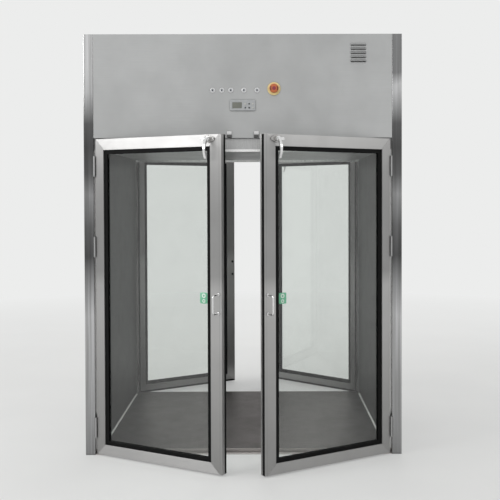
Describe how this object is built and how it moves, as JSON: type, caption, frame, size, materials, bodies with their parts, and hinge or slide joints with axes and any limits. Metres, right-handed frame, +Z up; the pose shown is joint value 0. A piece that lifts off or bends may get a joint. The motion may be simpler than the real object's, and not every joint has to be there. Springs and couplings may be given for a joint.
{
  "type": "cleanroom pass box",
  "caption": "Walk-in stainless cleanroom pass box with glazed double doors front and rear, cam latches and an equipment header with blower, filters and push buttons.",
  "frame": {"origin": "on the ground under the middle of the cabinet's footprint", "axes": "+X to the right seen from the front, +Y from the front doors to the rear ones, +Z up; the four leaves stand open at rest"},
  "size_m": [1.6, 2.3399, 2.12],
  "materials": {
    "post_stainless": "near-mirror bent sheet, light handling marks",
    "panel_stainless": "upright brushed grain, satin",
    "header_stainless": "fine brushed grain, satin",
    "liner_stainless": "satin, faint smudges",
    "floor_stainless": "satin, scuffed by wheels",
    "stop_stainless": "bright satin",
    "frame_stainless": "brushed along each member, mitred corners",
    "clear_glass": "clear toughened pane, faint green tint",
    "gasket_rubber": "black, slightly glossy",
    "seal_rubber": "black, matte",
    "hinge_steel": "satin, darkened at the knuckle gaps",
    "polished_chrome": "polished, small smudges",
    "ceiling_white": "powder coat, fine orange peel",
    "galvanised_sheet": "galvanised, faint spangle",
    "filter_media": "white pleated filter paper",
    "motor_grey": "grey enamel",
    "controller_case": "panel-grey moulded case",
    "estop_yellow": "yellow, faintly scratched",
    "estop_red": "red, glossy",
    "button_cap": "turned face, dark lamp in the middle"
  },
  "bodies": {
    "cabinet": {"corner_posts": "post_stainless", "left_side_panel": "panel_stainless", "right_side_panel": "panel_stainless", "left_liner": "liner_stainless", "right_liner": "liner_stainless", "base_pan": "floor_stainless", "door_stop_frames": "stop_stainless", "front_header_panel": "header_stainless", "rear_header_panel": "header_stainless", "roof_panel": "panel_stainless", "ceiling_diffuser": "ceiling_white", "plenum_box": "galvanised_sheet", "hepa_filters": "filter_media", "blower_housing": "galvanised_sheet", "blower_motor": "motor_grey", "hinge_post_plates": "hinge_steel", "hinge_pins": "hinge_steel", "latch_keepers": "polished_chrome", "button_bezels": "polished_chrome", "estop_collar": "estop_yellow", "controller": "controller_case"},
    "front_left_door": {"front_left_door_frame": "frame_stainless", "front_left_door_glass": "clear_glass", "front_left_glazing_gasket": "gasket_rubber", "front_left_door_seals": "seal_rubber", "front_left_door_handle": "polished_chrome", "front_left_latch_base": "polished_chrome", "front_left_hinge_door_plates": "hinge_steel"},
    "front_left_latch": {"front_left_latch_lever": "polished_chrome"},
    "front_right_door": {"front_right_door_frame": "frame_stainless", "front_right_door_glass": "clear_glass", "front_right_glazing_gasket": "gasket_rubber", "front_right_door_seals": "seal_rubber", "front_right_door_handle": "polished_chrome", "front_right_latch_base": "polished_chrome", "front_right_hinge_door_plates": "hinge_steel"},
    "front_right_latch": {"front_right_latch_lever": "polished_chrome"},
    "rear_left_door": {"rear_left_door_frame": "frame_stainless", "rear_left_door_glass": "clear_glass", "rear_left_glazing_gasket": "gasket_rubber", "rear_left_door_seals": "seal_rubber", "rear_left_door_handle": "polished_chrome", "rear_left_latch_base": "polished_chrome", "rear_left_hinge_door_plates": "hinge_steel"},
    "rear_left_latch": {"rear_left_latch_lever": "polished_chrome"},
    "rear_right_door": {"rear_right_door_frame": "frame_stainless", "rear_right_door_glass": "clear_glass", "rear_right_glazing_gasket": "gasket_rubber", "rear_right_door_seals": "seal_rubber", "rear_right_door_handle": "polished_chrome", "rear_right_latch_base": "polished_chrome", "rear_right_hinge_door_plates": "hinge_steel"},
    "rear_right_latch": {"rear_right_latch_lever": "polished_chrome"},
    "blower_wheel": {"blower_impeller": "galvanised_sheet"},
    "push_button_1": {"push_button_1": "button_cap"},
    "push_button_2": {"push_button_2": "button_cap"},
    "push_button_3": {"push_button_3": "button_cap"},
    "push_button_4": {"push_button_4": "button_cap"},
    "push_button_5": {"push_button_5": "button_cap"},
    "estop_head": {"estop_head": "estop_red"}
  },
  "joints": [
    {"name": "front_left_door_swing", "type": "hinge", "parent": "cabinet", "child": "front_left_door", "pos_m": [-0.7465, -0.7055, 0.8], "axis": [0, 0, -1], "range_deg": [-29, 91]},
    {"name": "front_left_latch_turn", "type": "hinge", "parent": "front_left_door", "child": "front_left_latch", "pos_m": [-0.15428, -1.03663, 1.573], "axis": [0.4848, 0.8746, 0], "range_deg": [0, 90]},
    {"name": "front_right_door_swing", "type": "hinge", "parent": "cabinet", "child": "front_right_door", "pos_m": [0.7465, -0.7055, 0.8], "axis": [0, 0, 1], "range_deg": [-31, 89]},
    {"name": "front_right_latch_turn", "type": "hinge", "parent": "front_right_door", "child": "front_right_latch", "pos_m": [0.1662, -1.0571, 1.573], "axis": [0.515, -0.8572, 0], "range_deg": [0, 90]},
    {"name": "rear_left_door_swing", "type": "hinge", "parent": "cabinet", "child": "rear_left_door", "pos_m": [-0.7465, 0.7055, 0.8], "axis": [0, 0, 1], "range_deg": [-33, 87]},
    {"name": "rear_left_latch_turn", "type": "hinge", "parent": "rear_left_door", "child": "rear_left_latch", "pos_m": [-0.17882, 1.07713, 1.573], "axis": [-0.5446, 0.8387, 0], "range_deg": [0, 90]},
    {"name": "rear_right_door_swing", "type": "hinge", "parent": "cabinet", "child": "rear_right_door", "pos_m": [0.7465, 0.7055, 0.8], "axis": [0, 0, -1], "range_deg": [-41, 79]},
    {"name": "rear_right_latch_turn", "type": "hinge", "parent": "rear_right_door", "child": "rear_right_latch", "pos_m": [0.23607, 1.15252, 1.573], "axis": [-0.6561, -0.7547, 0], "range_deg": [0, 90]},
    {"name": "blower_wheel_spin", "type": "hinge", "parent": "cabinet", "child": "blower_wheel", "pos_m": [-0.1, 0, 1.932], "axis": [1, 0, 0], "continuous": true},
    {"name": "push_button_1_press", "type": "slide", "parent": "cabinet", "child": "push_button_1", "axis": [0, 1, 0], "range_m": [0, 0.002], "stiffness_N_per_m": 800, "springref_m": -0.001},
    {"name": "push_button_2_press", "type": "slide", "parent": "cabinet", "child": "push_button_2", "axis": [0, 1, 0], "range_m": [0, 0.002], "stiffness_N_per_m": 800, "springref_m": -0.001},
    {"name": "push_button_3_press", "type": "slide", "parent": "cabinet", "child": "push_button_3", "axis": [0, 1, 0], "range_m": [0, 0.002], "stiffness_N_per_m": 800, "springref_m": -0.001},
    {"name": "push_button_4_press", "type": "slide", "parent": "cabinet", "child": "push_button_4", "axis": [0, 1, 0], "range_m": [0, 0.002], "stiffness_N_per_m": 800, "springref_m": -0.001},
    {"name": "push_button_5_press", "type": "slide", "parent": "cabinet", "child": "push_button_5", "axis": [0, 1, 0], "range_m": [0, 0.002], "stiffness_N_per_m": 800, "springref_m": -0.001},
    {"name": "estop_press", "type": "slide", "parent": "cabinet", "child": "estop_head", "axis": [0, 1, 0], "range_m": [0, 0.004]}
  ]
}
